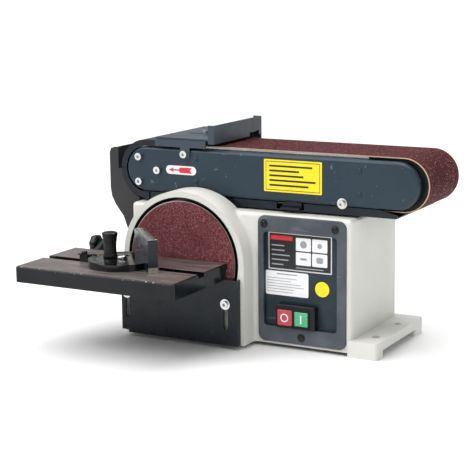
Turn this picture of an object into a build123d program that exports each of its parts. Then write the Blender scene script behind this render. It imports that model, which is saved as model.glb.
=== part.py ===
from build123d import *
import math
import os

# Bench-top belt and disc sander, millimetres.
# +X runs along the belt arm, -Y faces the operator, +Z is up, the bench is at z = 0.

# ---------------------------------------------------------------- driving dimensions
# Base housing
base_left, base_right = -166.5, 147.5
base_front, base_back = -8.5, 135.5
base_bottom, base_top = 5.0, 170.5
base_wall = 4.0
foot_top, foot_pad = 21.0, 9.5

# Disc side: everything turns on one axis along Y
disc_x, disc_z = -73.5, 106.7
disc_radius, disc_face = 75.0, -37.5
paper = 1.2
plate_back = -30.3
arch_radius, arch_bore = 88.0, 80.5
arch_front, arch_back, recess_back = -36.5, 1.5, -14.5
motor_radius = 57.0
motor_front, motor_back = base_front + base_wall, 108.0
rotor_shaft_radius = 8.0

# Belt side: a 100 x 915 mm belt over two drums
drum_x, idler_x, belt_z = -151.5, 203.5, 213.0
belt_outer, belt_inner = 33.2, 32.0
belt_front, belt_back = 17.3, 117.3
drum_radius, drum_front, drum_back = 31.7, 16.5, 118.5
idler_front, idler_back = 21.0, 114.0
drum_shaft_radius, drum_journal_radius = 7.5, 5.0
cover_half, cover_front, cover_back, sheet = 29.0, 4.5, 14.0, 2.0
web_back = 16.0
rear_plate_front, rear_plate_back = 127.5, 131.5
hood_inner, hood_outer = 36.5, 38.5
guard_bottom = 173.2

# Drive at the back
bracket_front, bracket_back = base_back, 141.5
pulley_front, pulley_back = 145.0, 160.0
motor_pulley_radius, drum_pulley_radius = 12.5, 25.0
rear_cover_back = 169.5
hub_inner, hub_outer = 17.5, 22.0

# Control panel
panel_x, panel_z, panel_width, panel_height = 81.05, 88.0, 120.7, 160.6
tray_x, tray_z, tray_width, tray_height = 79.0, 88.0, 101.0, 120.0
tray_floor = -5.5
switch_x, switch_z, switch_front = 75.0, 43.5, -15.5
stop_button_x, start_button_x, button_z = 60.75, 83.5, 42.0
stop_button_size, start_button_size = 20.0, 18.0
button_front, button_back = -17.0, -10.5

# Mitre table
table_left, table_right = -236.7, -6.5
table_front, table_rear = -169.5, -39.5
table_top, table_plate, table_apron = 109.5, 8.0, 20.0
slot_y, slot_width, slot_depth = -104.5, 14.0, 5.0
pivot_y, pivot_z, pivot_radius = -52.0, 91.5, 4.0
lock_y, lock_z = -13.5, 111.0

# Mitre gauge: the fence stands at 45 degrees to the slot
gauge_x, gauge_turn = -120.2, -46.0
head_radius, head_thickness = 42.0, 8.0
fence_offset, fence_thickness, fence_height = 21.0, 12.0, 41.0
fence_start, fence_end = -22.0, 60.0

# Fits
running = 0.05
gap = 0.3
screw_radius, screw_hole = 2.5, 2.6


# ---------------------------------------------------------------- helpers
def front_plane(y):
    """Plane at depth y facing the operator: sketch x is X, sketch y is Z, extrusion runs to -Y."""
    return Plane.XZ.offset(-y)


def bar_along_y(x, z, radius, y_front, y_back, mode=Mode.ADD):
    """A round bar, or with Mode.SUBTRACT a round hole, along Y in the part being built."""
    with BuildSketch(front_plane(y_back)) as section:
        with Locations((x, z)):
            Circle(radius)
    extrude(section.sketch, amount=y_back - y_front, mode=mode)


def ring_along_y(x, z, outer, inner, y_front, y_back):
    """A tube along Y in the part being built."""
    with BuildSketch(front_plane(y_back)) as section:
        with Locations((x, z)):
            Circle(outer)
            Circle(inner, mode=Mode.SUBTRACT)
    extrude(section.sketch, amount=y_back - y_front)


def block(x0, x1, y0, y1, z0, z1, mode=Mode.ADD):
    """A rectangular block between two corners in the part being built."""
    with BuildSketch(Plane.XY.offset(z0)) as section:
        with Locations(((x0 + x1) / 2, (y0 + y1) / 2)):
            Rectangle(x1 - x0, y1 - y0)
    extrude(section.sketch, amount=z1 - z0, mode=mode)


def wrap(left_radius, right_radius, y_front, y_back, left, right, mode=Mode.ADD):
    """The convex outline round two circles, as a belt takes it, made into a slab along Y."""
    with BuildSketch(front_plane(y_back)) as section:
        with Locations(left):
            Circle(left_radius)
        with Locations(right):
            Circle(right_radius)
        make_hull()
    extrude(section.sketch, amount=y_back - y_front, mode=mode)


def socket_screw(x, z, y_seat, y_tip, direction=-1, head_radius=4.8, head_height=4.5):
    """A socket-head screw along Y; its head stands from y_seat towards the given side."""
    head_end = y_seat + direction * head_height
    bar_along_y(x, z, head_radius, min(y_seat, head_end), max(y_seat, head_end))
    bar_along_y(x, z, screw_radius, min(y_seat, y_tip), max(y_seat, y_tip))
    socket_floor = head_end - direction * 2.5
    with BuildSketch(front_plane(max(head_end, socket_floor))) as socket:
        with Locations((x, z)):
            RegularPolygon(2.3, 6)
    extrude(socket.sketch, amount=2.5, mode=Mode.SUBTRACT)


def save(piece, name):
    """Labels a finished piece and writes it as one STEP file."""
    piece.label = name
    export_step(piece, f"parts/{name}.step")


drum_centre, idler_centre = (drum_x, belt_z), (idler_x, belt_z)
cover_end = (idler_x - 5, belt_z)
motor_centre = (disc_x, disc_z)
os.makedirs("parts", exist_ok=True)

# ---------------------------------------------------------------- fastener places
panel_screw_places = [(30.0, 157.9), (127.0, 157.5), (81.0, 17.2)]
bearing_screw_places = [(drum_x - 9.4, belt_z + 16.3), (drum_x - 9.4, belt_z - 16.3), (drum_x + 18.8, belt_z)]
rivet_places = [(-75.9, 229.9), (-75.5, 201.5), (151.8, 229.2), (152.0, 200.4)]
stop_screw_x, stop_screw_z = -91.0, 236.1
tracking_x, tracking_z = 129.8, 188.0
motor_screw_places = [(disc_x + 35 * math.cos(math.radians(a)), disc_z + 35 * math.sin(math.radians(a)))
                      for a in (45, 135, 225, 315)]
guard_screw_places = [(-152.5, 58.4), (-6.8, 58.4)]
bracket_screw_places = [(-131.5, 149.0), (-104.0, 150.0), (-122.0, 106.0), (-42.0, 135.0)]
cover_screw_places = [(drum_x + 32.9, belt_z + 19.0), (-135.8, 131.5), (disc_x + 33.5, disc_z + 8.0)]
table_screw_places = [(5.0, 62.0), (26.0, 62.0)]
hood_screw_places = [(40.0, 130.0), (100.0, 130.0)]
right_foot_x, right_foot_holes = 167.5, (22.0, 92.0)
left_foot_x, left_foot_holes = -184.5, (63.0, 130.0)
gland_x, gland_z = 110.0, 35.0
spigot_x, spigot_z, spigot_outer, spigot_inner = -200.0, 177.5, 18.0, 16.0
spigot_back = 150.5

# ---------------------------------------------------------------- base housing
# One casting, kept as a body, a disc surround, a back panel and foot rails that meet face to face
with BuildPart() as casting:
    block(base_left, base_right, base_front, base_back, base_bottom, base_top)
    fillet(casting.edges().filter_by(Axis.Z), radius=6)
    fillet(casting.edges().group_by(Axis.Z)[-1], radius=5)
    # Arched surround of the disc, standing forward of the base and a little above it
    with BuildSketch(front_plane(arch_back)):
        with Locations(motor_centre):
            Circle(arch_radius)
        with Locations((disc_x, (base_bottom + disc_z) / 2)):
            Rectangle(2 * arch_radius, disc_z - base_bottom)
    extrude(amount=arch_back - arch_front)
    # The surround flares into the front wall on its right-hand side
    flare_edges = casting.edges().filter_by(
        lambda e: abs(e.center().Y - base_front) < 0.2 and e.center().X > disc_x + 40
        and e.center().Z < base_top - 4 and abs(e.bounding_box().size.Y) < 0.1
        and e.center().X < disc_x + arch_radius + 1)
    fillet(flare_edges, radius=5.8)
    # Hollow from below
    block(base_left + base_wall, base_right - base_wall, base_front + base_wall, base_back - base_wall,
          base_bottom, base_top - base_wall, mode=Mode.SUBTRACT)
    # Disc recess, with a square throat below it behind the lower guard
    bar_along_y(disc_x, disc_z, arch_bore, arch_front, recess_back, mode=Mode.SUBTRACT)
    block(disc_x - 60, disc_x + 60, arch_front, recess_back, base_bottom + 8, disc_z, mode=Mode.SUBTRACT)
    bar_along_y(disc_x, disc_z, 24, recess_back, motor_front, mode=Mode.SUBTRACT)
    for x, z in motor_screw_places:
        bar_along_y(x, z, screw_hole, recess_back, motor_front, mode=Mode.SUBTRACT)
    # Panel opening, its screw holes, and the guard screw holes
    with BuildSketch(front_plane(base_front + base_wall)):
        with Locations((tray_x, tray_z)):
            RectangleRounded(tray_width + 6, tray_height + 6, 6.5)
    extrude(amount=base_wall, mode=Mode.SUBTRACT)
    for x, z in panel_screw_places:
        bar_along_y(x, z, 2.1, base_front, base_front + base_wall, mode=Mode.SUBTRACT)
    for x, z in guard_screw_places:
        bar_along_y(x, z, screw_hole, arch_front, recess_back, mode=Mode.SUBTRACT)
    # Rear wall: shaft hole, bracket screw holes, cord gland hole and cooling slots
    bar_along_y(disc_x, disc_z, 14, base_back - base_wall, base_back, mode=Mode.SUBTRACT)
    for x, z in bracket_screw_places:
        bar_along_y(x, z, screw_hole, base_back - base_wall, base_back, mode=Mode.SUBTRACT)
    bar_along_y(gland_x, gland_z, 7, base_back - base_wall, base_back, mode=Mode.SUBTRACT)
    with BuildSketch(front_plane(base_back)):
        with GridLocations(14, 0, 7, 1):
            with Locations((70, 105)):
                SlotOverall(56, 6, rotation=90)
    extrude(amount=base_wall, mode=Mode.SUBTRACT)
    # Left wall: holes for the table bracket and the dust hood
    for y, z in table_screw_places + hood_screw_places:
        with BuildSketch(Plane.YZ.offset(base_left)):
            with Locations((y, z)):
                Circle(screw_hole)
        extrude(amount=base_wall, mode=Mode.SUBTRACT)

with BuildPart() as disc_surround:
    add(casting.part)
    block(base_left - 1, base_right + 1, base_front, base_back + 1, 0, base_top, mode=Mode.SUBTRACT)
save(disc_surround.part, "disc_surround")

with BuildPart() as base_housing:
    add(casting.part)
    block(base_left, base_right, base_front, base_back - base_wall, base_bottom, base_top, mode=Mode.INTERSECT)
save(base_housing.part, "base_housing")

with BuildPart() as back_panel:
    add(casting.part)
    block(base_left, base_right, base_back - base_wall, base_back, base_bottom, base_top, mode=Mode.INTERSECT)
save(back_panel.part, "back_panel")

with BuildPart() as foot_rails:
    # Rails outside the left and right walls, on pads at their ends
    block(base_right - base_wall, 182.5, -10.5, 141.5, foot_pad, foot_top)
    block(base_right - base_wall, 182.5, -10.5, 11.5, 0, foot_pad)
    block(base_right - base_wall, 182.5, 116.5, 141.5, 0, foot_pad)
    block(-200.5, base_left + base_wall, 53.5, 141.5, foot_pad, foot_top)
    block(-200.5, base_left + base_wall, 53.5, 72.5, 0, foot_pad)
    block(-200.5, base_left + base_wall, 119.5, 141.5, 0, foot_pad)
    rail_corners = foot_rails.edges().filter_by(Axis.Z).filter_by(
        lambda e: e.center().X > 182 or e.center().X < -200)
    fillet(rail_corners, radius=4)
    add(base_housing.part, mode=Mode.SUBTRACT)
    add(back_panel.part, mode=Mode.SUBTRACT)
    # Bolt holes
    for x, ys in ((right_foot_x, right_foot_holes), (left_foot_x, left_foot_holes)):
        with BuildSketch():
            with Locations(*[(x, y) for y in ys]):
                Circle(3.5)
        extrude(amount=foot_top, mode=Mode.SUBTRACT)
save(foot_rails.part, "foot_rails")

# ---------------------------------------------------------------- control panel and switch
with BuildPart() as control_panel:
    with BuildSketch(front_plane(base_front)):
        with Locations((panel_x, panel_z)):
            RectangleRounded(panel_width, panel_height, 10)
    extrude(amount=2.5)
    fillet(control_panel.edges().group_by(Axis.Y)[0], radius=1.5)
    with BuildSketch(front_plane(base_front + 6)):
        with Locations((tray_x, tray_z)):
            RectangleRounded(tray_width + 5.4, tray_height + 5.4, 6)
    extrude(amount=6)
    with BuildSketch(front_plane(tray_floor)):
        with Locations((tray_x, tray_z)):
            RectangleRounded(tray_width, tray_height, 5)
    extrude(amount=tray_floor - base_front + 3, mode=Mode.SUBTRACT)
    with BuildSketch(front_plane(0)):
        with Locations((switch_x, switch_z)):
            Rectangle(44.6, 27.6)
    extrude(amount=10, mode=Mode.SUBTRACT)
    for x, z in panel_screw_places:
        bar_along_y(x, z, 2.1, base_front - 3, base_front, mode=Mode.SUBTRACT)
        bar_along_y(x, z, 4.6, base_front - 3, base_front - 1.1, mode=Mode.SUBTRACT)
save(control_panel.part, "control_panel")

with BuildPart() as switch_housing:
    with BuildSketch(front_plane(tray_floor)):
        with Locations((switch_x, switch_z)):
            RectangleRounded(53, 30, 2)
    extrude(amount=tray_floor - switch_front)
    fillet(switch_housing.edges().group_by(Axis.Y)[0], radius=1.2)
    block(switch_x - 22, switch_x + 22, tray_floor, 30, switch_z - 13.5, switch_z + 13.5)
    for x, size in ((stop_button_x, stop_button_size), (start_button_x, start_button_size)):
        half = size / 2 + gap
        block(x - half, x + half, switch_front, -7, button_z - half, button_z + half, mode=Mode.SUBTRACT)
        bar_along_y(x, button_z, 3.3, -7, 6, mode=Mode.SUBTRACT)
save(switch_housing.part, "switch_housing")


def push_button(name, x, size):
    """A square push button on a short stem, standing 1.5 mm proud of the switch."""
    with BuildPart() as button:
        with BuildSketch(front_plane(button_back)) as cap:
            with Locations((x, button_z)):
                RectangleRounded(size, size, 1)
        extrude(cap.sketch, amount=button_back - button_front)
        fillet(button.edges().group_by(Axis.Y)[0], radius=0.8)
        bar_along_y(x, button_z, 3, button_back, 2)
    save(button.part, name)


push_button("stop_button", stop_button_x, stop_button_size)
push_button("start_button", start_button_x, start_button_size)

# ---------------------------------------------------------------- motor
with BuildPart() as motor_shell:
    ring_along_y(disc_x, disc_z, motor_radius, motor_radius - 2, 8, 96)
save(motor_shell.part, "motor_shell")

with BuildPart() as motor_end_bells:
    for y_outer, y_inner in ((motor_front, 8), (motor_back, 96)):
        bar_along_y(disc_x, disc_z, motor_radius, min(y_outer, y_inner), max(y_outer, y_inner))
    for y_front, y_back in ((2, 8), (96, 102)):
        with BuildSketch(front_plane(y_back)):
            with Locations(motor_centre):
                Circle(50)
                Circle(24, mode=Mode.SUBTRACT)
        extrude(amount=y_back - y_front, mode=Mode.SUBTRACT)
    bar_along_y(disc_x, disc_z, hub_inner, motor_front, motor_back, mode=Mode.SUBTRACT)
    for x, z in motor_screw_places:
        bar_along_y(x, z, screw_hole, motor_front, 2, mode=Mode.SUBTRACT)
save(motor_end_bells.part, "motor_end_bells")

with BuildPart() as motor_stator:
    ring_along_y(disc_x, disc_z, motor_radius - 2, 32.3, 22, 82)
    ring_along_y(disc_x, disc_z, 50, 37, 11, 93)
save(motor_stator.part, "motor_stator")

with BuildPart() as rotor_shaft:
    bar_along_y(disc_x, disc_z, rotor_shaft_radius, plate_back + 1, 162)
    fillet(rotor_shaft.edges().group_by(Axis.Y)[-1], radius=1)
save(rotor_shaft.part, "rotor_shaft")

with BuildPart() as rotor_core:
    ring_along_y(disc_x, disc_z, 32, rotor_shaft_radius, 22, 82)
    ring_along_y(disc_x, disc_z, 28, 16, 16, 88)
save(rotor_core.part, "rotor_core")

with BuildPart() as motor_fan:
    ring_along_y(disc_x, disc_z, 14, rotor_shaft_radius, 111, 124)
    ring_along_y(disc_x, disc_z, 46, 13, 111, 113)
    with BuildSketch(front_plane(122)):
        with Locations(motor_centre):
            with PolarLocations(29, 9):
                Rectangle(32, 2)
    extrude(amount=10)
save(motor_fan.part, "motor_fan")

with BuildPart() as shaft_bearings:
    for y in (motor_front + 1, 97):
        ring_along_y(disc_x, disc_z, hub_inner, rotor_shaft_radius + running, y, y + 10)
    for y in (120, 131):
        ring_along_y(drum_x, belt_z, hub_inner, drum_shaft_radius + running, y, y + 10)
save(shaft_bearings.part, "shaft_bearings")

with BuildPart() as motor_capacitor:
    bar_along_y(40, 38, 19, 58, base_back - base_wall)
    fillet(motor_capacitor.edges().group_by(Axis.Y)[0], radius=3)
save(motor_capacitor.part, "motor_capacitor")

# ---------------------------------------------------------------- sanding disc
with BuildPart() as disc_plate:
    bar_along_y(disc_x, disc_z, disc_radius + 1, disc_face + paper, plate_back)
    bar_along_y(disc_x, disc_z, 20, plate_back, -16)
    bar_along_y(disc_x, disc_z, rotor_shaft_radius, plate_back + 1, -16, mode=Mode.SUBTRACT)
save(disc_plate.part, "disc_plate")

with BuildPart() as abrasive_disc:
    bar_along_y(disc_x, disc_z, disc_radius, disc_face, disc_face + paper)
save(abrasive_disc.part, "abrasive_disc")

with BuildPart() as lower_disc_guard:
    guard_left, guard_right, guard_top, guard_front = -161.5, 9.5, 89.5, -45.5
    block(guard_left, guard_right, guard_front, arch_front - gap, base_bottom + 0.5, guard_top)
    block(guard_left + 1.5, guard_right - 1.5, guard_front + 1.5, arch_front, base_bottom + 2, guard_top,
          mode=Mode.SUBTRACT)
    block(guard_left, guard_left + 10, guard_front, arch_front, base_bottom, base_bottom + 4,
          mode=Mode.SUBTRACT)
    for x, z in guard_screw_places:
        with BuildSketch(front_plane(arch_front)):
            with Locations((x, z - 15)):
                SlotCenterToCenter(30, 6.4, rotation=90)
        extrude(amount=arch_front - guard_front + 1, mode=Mode.SUBTRACT)
save(lower_disc_guard.part, "lower_disc_guard")

with BuildPart() as guard_screws:
    for x, z in guard_screw_places:
        bar_along_y(x, z, 6.8, guard_front - gap - 1.2, guard_front - gap)
        bar_along_y(x, z, 2.9, guard_front - gap, arch_front)
        bar_along_y(x, z, screw_radius, arch_front, recess_back - 4)
        with BuildSketch(front_plane(guard_front - gap - 1.2)):
            with Locations((x, z)):
                Circle(4.2)
                RegularPolygon(2.3, 6, mode=Mode.SUBTRACT)
        extrude(amount=2.8)
save(guard_screws.part, "guard_screws")

# ---------------------------------------------------------------- pivot bracket and drive
with BuildPart() as pivot_bracket:
    wrap(34, 31, bracket_front, bracket_back, drum_centre, motor_centre)
    block(-160, -30, bracket_front, bracket_back, 95, 160)
    bar_along_y(*cover_screw_places[0], 7.5, bracket_front, bracket_back)
    ring_along_y(drum_x, belt_z, hub_outer, hub_inner, 119.5, bracket_front)
    bar_along_y(drum_x, belt_z, hub_inner, bracket_front, bracket_back, mode=Mode.SUBTRACT)
    bar_along_y(disc_x, disc_z, 14, bracket_front, bracket_back, mode=Mode.SUBTRACT)
    for x, z in bracket_screw_places + cover_screw_places:
        bar_along_y(x, z, screw_hole, bracket_front, bracket_back, mode=Mode.SUBTRACT)
save(pivot_bracket.part, "pivot_bracket")


def pulley(name, x, z, radius, bore):
    """A flat-belt pulley with a flange at each edge."""
    with BuildPart() as wheel:
        ring_along_y(x, z, radius, bore, pulley_front, pulley_back)
        for y in (pulley_front, pulley_back - 1.5):
            ring_along_y(x, z, radius + 3, bore, y, y + 1.5)
    save(wheel.part, name)


pulley("motor_pulley", disc_x, disc_z, motor_pulley_radius, rotor_shaft_radius)
pulley("drum_pulley", drum_x, belt_z, drum_pulley_radius, drum_shaft_radius)

with BuildPart() as drive_belt:
    belt_edges = (pulley_front + 2, pulley_back - 2)
    wrap(drum_pulley_radius + 2.8, motor_pulley_radius + 2.8, *belt_edges, drum_centre, motor_centre)
    wrap(drum_pulley_radius + gap, motor_pulley_radius + gap, *belt_edges, drum_centre, motor_centre,
         mode=Mode.SUBTRACT)
save(drive_belt.part, "drive_belt")

with BuildPart() as rear_belt_cover:
    wrap(32.5, 28, bracket_back, rear_cover_back, drum_centre, motor_centre)
    fillet(rear_belt_cover.edges().group_by(Axis.Y)[-1], radius=5)
    wrap(30, 25.5, bracket_back, rear_cover_back - 2.5, drum_centre, motor_centre, mode=Mode.SUBTRACT)
    # Screw ears round the rim
    for x, z in cover_screw_places:
        ring_along_y(x, z, 7.5, screw_hole, bracket_back, bracket_back + 3)
    wrap(30, 25.5, bracket_back, bracket_back + 4, drum_centre, motor_centre, mode=Mode.SUBTRACT)
save(rear_belt_cover.part, "rear_belt_cover")

# ---------------------------------------------------------------- drums
with BuildPart() as drive_drum:
    bar_along_y(drum_x, belt_z, drum_radius, drum_front, drum_back)
    for y_front, y_back in ((drum_front, 24), (30, 105), (111, drum_back)):
        with BuildSketch(front_plane(y_back)):
            with Locations(drum_centre):
                Circle(27)
                Circle(14, mode=Mode.SUBTRACT)
        extrude(amount=y_back - y_front, mode=Mode.SUBTRACT)
    bar_along_y(drum_x, belt_z, drum_shaft_radius, drum_front, drum_back, mode=Mode.SUBTRACT)
save(drive_drum.part, "drive_drum")

with BuildPart() as drum_shaft:
    bar_along_y(drum_x, belt_z, drum_shaft_radius, drum_front, 163)
    bar_along_y(drum_x, belt_z, drum_journal_radius, 8.5, drum_front)
save(drum_shaft.part, "drum_shaft")

with BuildPart() as idler_drum:
    bar_along_y(idler_x, belt_z, drum_radius, idler_front, idler_back)
    for y_front, y_back in ((idler_front, 25), (35, 100), (110, idler_back)):
        with BuildSketch(front_plane(y_back)):
            with Locations(idler_centre):
                Circle(27)
                Circle(17, mode=Mode.SUBTRACT)
        extrude(amount=y_back - y_front, mode=Mode.SUBTRACT)
    bar_along_y(idler_x, belt_z, 13, idler_front, idler_back, mode=Mode.SUBTRACT)
save(idler_drum.part, "idler_drum")

with BuildPart() as idler_bearings:
    for y in (25, 100):
        ring_along_y(idler_x, belt_z, 13, 6 + running, y, y + 10)
save(idler_bearings.part, "idler_bearings")

with BuildPart() as sanding_belt:
    wrap(belt_outer, belt_outer, belt_front, belt_back, drum_centre, idler_centre)
    wrap(belt_inner, belt_inner, belt_front, belt_back, drum_centre, idler_centre, mode=Mode.SUBTRACT)
save(sanding_belt.part, "sanding_belt")

# ---------------------------------------------------------------- belt arm
with BuildPart() as arm_frame:
    wrap(cover_half - 1, cover_half - 1, cover_back, web_back, drum_centre, cover_end)
    block(-105, 100, web_back, rear_plate_front, 195, 231)
    block(-102, 97, web_back, rear_plate_front, 198, 228, mode=Mode.SUBTRACT)
    bar_along_y(drum_x, belt_z, 24.1, cover_back, web_back, mode=Mode.SUBTRACT)
    bar_along_y(tracking_x, tracking_z, screw_hole, cover_back, web_back, mode=Mode.SUBTRACT)
    block(141, 161, cover_back, web_back, 203, 213, mode=Mode.SUBTRACT)
    block(97, 100, 61.2, 73.8, 206.7, 219.3, mode=Mode.SUBTRACT)
save(arm_frame.part, "arm_frame")

with BuildPart() as arm_rear_plate:
    wrap(30, 24, rear_plate_front, rear_plate_back, drum_centre, idler_centre)
    bar_along_y(drum_x, belt_z, hood_outer, rear_plate_front, rear_plate_back)
    block(drum_x, 199, rear_plate_front, rear_plate_back, guard_bottom, belt_z)
    bar_along_y(drum_x, belt_z, hub_outer + running, rear_plate_front, rear_plate_back, mode=Mode.SUBTRACT)
save(arm_rear_plate.part, "arm_rear_plate")

with BuildPart() as platen:
    platen_top = belt_z + belt_inner - gap
    block(-112, 158, belt_front + 0.7, belt_back - 0.3, platen_top - 4, platen_top)
    for x in (-100, 84):
        block(x, x + 8, 24, 110, 231, platen_top - 4)
save(platen.part, "platen")

with BuildPart() as arm_front_cover:
    wrap(cover_half, cover_half, cover_front, cover_back, drum_centre, cover_end)
    fillet(arm_front_cover.edges().group_by(Axis.Y)[0], radius=4)
    wrap(cover_half - 1.5, cover_half - 1.5, cover_front + sheet, cover_back, drum_centre, cover_end,
         mode=Mode.SUBTRACT)
    for x, z in bearing_screw_places + [(stop_screw_x, stop_screw_z), (tracking_x, tracking_z)]:
        bar_along_y(x, z, screw_hole, cover_front, cover_front + sheet, mode=Mode.SUBTRACT)
    for x, z in rivet_places:
        bar_along_y(x, z, 1.6, cover_front, cover_front + sheet, mode=Mode.SUBTRACT)
    # Gap in the lower rim for the tension bar
    block(38, 76, cover_front + sheet, cover_back, belt_z - cover_half, belt_z - 20, mode=Mode.SUBTRACT)
save(arm_front_cover.part, "arm_front_cover")

with BuildPart() as front_bearing_housing:
    bar_along_y(drum_x, belt_z, 24, cover_front + sheet, web_back)
    bar_along_y(drum_x, belt_z, 13, 8, web_back, mode=Mode.SUBTRACT)
    for x, z in bearing_screw_places:
        bar_along_y(x, z, screw_hole, cover_front + sheet, web_back, mode=Mode.SUBTRACT)
save(front_bearing_housing.part, "front_bearing_housing")

with BuildPart() as drum_front_bearing:
    ring_along_y(drum_x, belt_z, 13, drum_journal_radius + running, 8.5, 15.5)
save(drum_front_bearing.part, "drum_front_bearing")

with BuildPart() as tracking_screw:
    washer_face = cover_front - gap - 1.5
    bar_along_y(tracking_x, tracking_z, 6.6, washer_face, cover_front - gap)
    socket_screw(tracking_x, tracking_z, washer_face, web_back + 1, head_radius=4.2, head_height=4)
save(tracking_screw.part, "tracking_screw")

with BuildPart() as upper_belt_hood:
    # A quarter shell over the drum with a flange at its front edge, running on above the belt
    with BuildSketch(front_plane(rear_plate_front)):
        with Locations(drum_centre):
            Circle(hood_outer)
            Circle(hood_inner, mode=Mode.SUBTRACT)
        with Locations((drum_x + 7.5, belt_z + (hood_inner + hood_outer) / 2)):
            Rectangle(15, hood_outer - hood_inner)
        with Locations((drum_x - 30, belt_z - 30)):
            Rectangle(60, 61, mode=Mode.SUBTRACT)
        with Locations((drum_x + 30, belt_z)):
            Rectangle(60, 2 * hood_inner, mode=Mode.SUBTRACT)
        with Locations((drum_x + 30, belt_z - 30)):
            Rectangle(60, 60, mode=Mode.SUBTRACT)
    extrude(amount=rear_plate_front - 6)
    with BuildSketch(front_plane(8)):
        with Locations(drum_centre):
            Circle(hood_outer)
        with Locations((drum_x + 7.5, belt_z + hood_outer / 2)):
            Rectangle(15, hood_outer)
        with Locations(drum_centre):
            Circle(30.5, mode=Mode.SUBTRACT)
        with Locations((drum_x + 7.5, belt_z + 15.25)):
            Rectangle(15, 30.5, mode=Mode.SUBTRACT)
        with Locations((drum_x, belt_z - 30)):
            Rectangle(100, 61, mode=Mode.SUBTRACT)
        with Locations((drum_x + 45, belt_z + 30)):
            Rectangle(60, 61, mode=Mode.SUBTRACT)
    extrude(amount=2)
save(upper_belt_hood.part, "upper_belt_hood")

with BuildPart() as lower_belt_guard:
    # The lower quarter shell, then a flat tray below the belt with an upstanding front lip
    with BuildSketch(front_plane(rear_plate_front)):
        with Locations(drum_centre):
            Circle(hood_outer)
            Circle(hood_inner, mode=Mode.SUBTRACT)
        with Locations((drum_x, belt_z + 30)):
            Rectangle(100, 60, mode=Mode.SUBTRACT)
        with Locations((drum_x + 30, belt_z)):
            Rectangle(60, 100, mode=Mode.SUBTRACT)
    extrude(amount=rear_plate_front - 6)
    block(drum_x, 199, 8, rear_plate_front, guard_bottom, guard_bottom + 1.5)
    block(drum_x - 1, drum_x + 2, 8, rear_plate_front, guard_bottom, belt_z - hood_inner)
    block(drum_x - 3, drum_x + 3, 6, 10, guard_bottom, belt_z - cover_half - 1)
    with BuildSketch(front_plane(10)):
        with BuildLine():
            Polyline((drum_x, guard_bottom), (199, guard_bottom), (199, guard_bottom + 4.5),
                     (176, belt_z - cover_half - 1), (drum_x, belt_z - cover_half - 1), close=True)
        make_face()
    extrude(amount=2)
    # Notch in the lip for the tension bar
    block(38, 76, 8, 10, guard_bottom + 1.5, belt_z - cover_half, mode=Mode.SUBTRACT)
    with BuildSketch(front_plane(8)):
        with Locations(drum_centre):
            Circle(hood_outer)
            Circle(30.5, mode=Mode.SUBTRACT)
        with Locations((drum_x, belt_z + 30)):
            Rectangle(100, 60, mode=Mode.SUBTRACT)
        with Locations((drum_x + 30, belt_z)):
            Rectangle(60, 100, mode=Mode.SUBTRACT)
    extrude(amount=2)
save(lower_belt_guard.part, "lower_belt_guard")

# ---------------------------------------------------------------- belt tension
with BuildPart() as idler_yoke:
    for y in (17.6, 114.4):
        with BuildSketch(front_plane(y + 3)):
            with Locations(((134 + idler_x) / 2, belt_z)):
                Rectangle(idler_x - 134, 22)
            with Locations(idler_centre):
                Circle(11)
                Circle(6, mode=Mode.SUBTRACT)
        extrude(amount=3)
    block(134, 144, 17.6, 117.4, belt_z - 11, belt_z + 11)
    block(70, 134, 61.5, 73.5, belt_z - 6, belt_z + 6)
save(idler_yoke.part, "idler_yoke")

with BuildPart() as idler_axle:
    bar_along_y(idler_x, belt_z, 6, 17.6, 117.4)
save(idler_axle.part, "idler_axle")

with BuildPart() as tension_bar:
    block(46.5, 158, 8, 11, 203.5, 212.5)
    block(52, 66, 8, 11, 180, 204)
    block(46.5, 72.5, 8, 11, 175.1, 183.5)
    block(46.5, 72.5, 1.5, 8, 175.1, 178.1)
    block(148, 158, 11, 17.6, 204, 212)
save(tension_bar.part, "tension_bar")

with BuildPart() as tension_spring:
    with BuildLine() as coil:
        Helix(pitch=5.6, height=31, radius=11, center=(101.5, 67.5, belt_z), direction=(1, 0, 0))
    with BuildSketch(Plane(coil.line @ 0, z_dir=coil.line % 0)):
        Circle(1.2)
    sweep()
save(tension_spring.part, "tension_spring")

# ---------------------------------------------------------------- work stop
stop_left, stop_right, stop_bottom = -135.5, -60.5, 252.0
stop_rear = rear_plate_back + sheet
clamp_x, clamp_y, clamp_radius = -89.8, 56.0, 2.2
plate_bottom = stop_bottom + sheet + gap
fence_left, fence_right, fence_bottom, fence_top = -57.5, -48.5, 250.1, 274.0

with BuildPart() as stop_bracket:
    # Bridge over the belt, hung from the front cover and lapped on the rear plate
    block(stop_left, stop_right, cover_front - sheet, stop_rear, stop_bottom, stop_bottom + sheet)
    block(stop_left, stop_right, cover_front - sheet, cover_front, 244.5, stop_bottom)
    block(stop_screw_x - 7, stop_screw_x + 7, cover_front - sheet, cover_front, 231, 244.5)
    block(stop_left, stop_right, rear_plate_back, stop_rear, 236, stop_bottom)
    bar_along_y(stop_screw_x, stop_screw_z, screw_hole, cover_front - sheet, cover_front, mode=Mode.SUBTRACT)
    with BuildSketch(Plane.XY.offset(stop_bottom)):
        with Locations((clamp_x, clamp_y)):
            Circle(clamp_radius)
    extrude(amount=sheet, mode=Mode.SUBTRACT)
save(stop_bracket.part, "stop_bracket")

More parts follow.
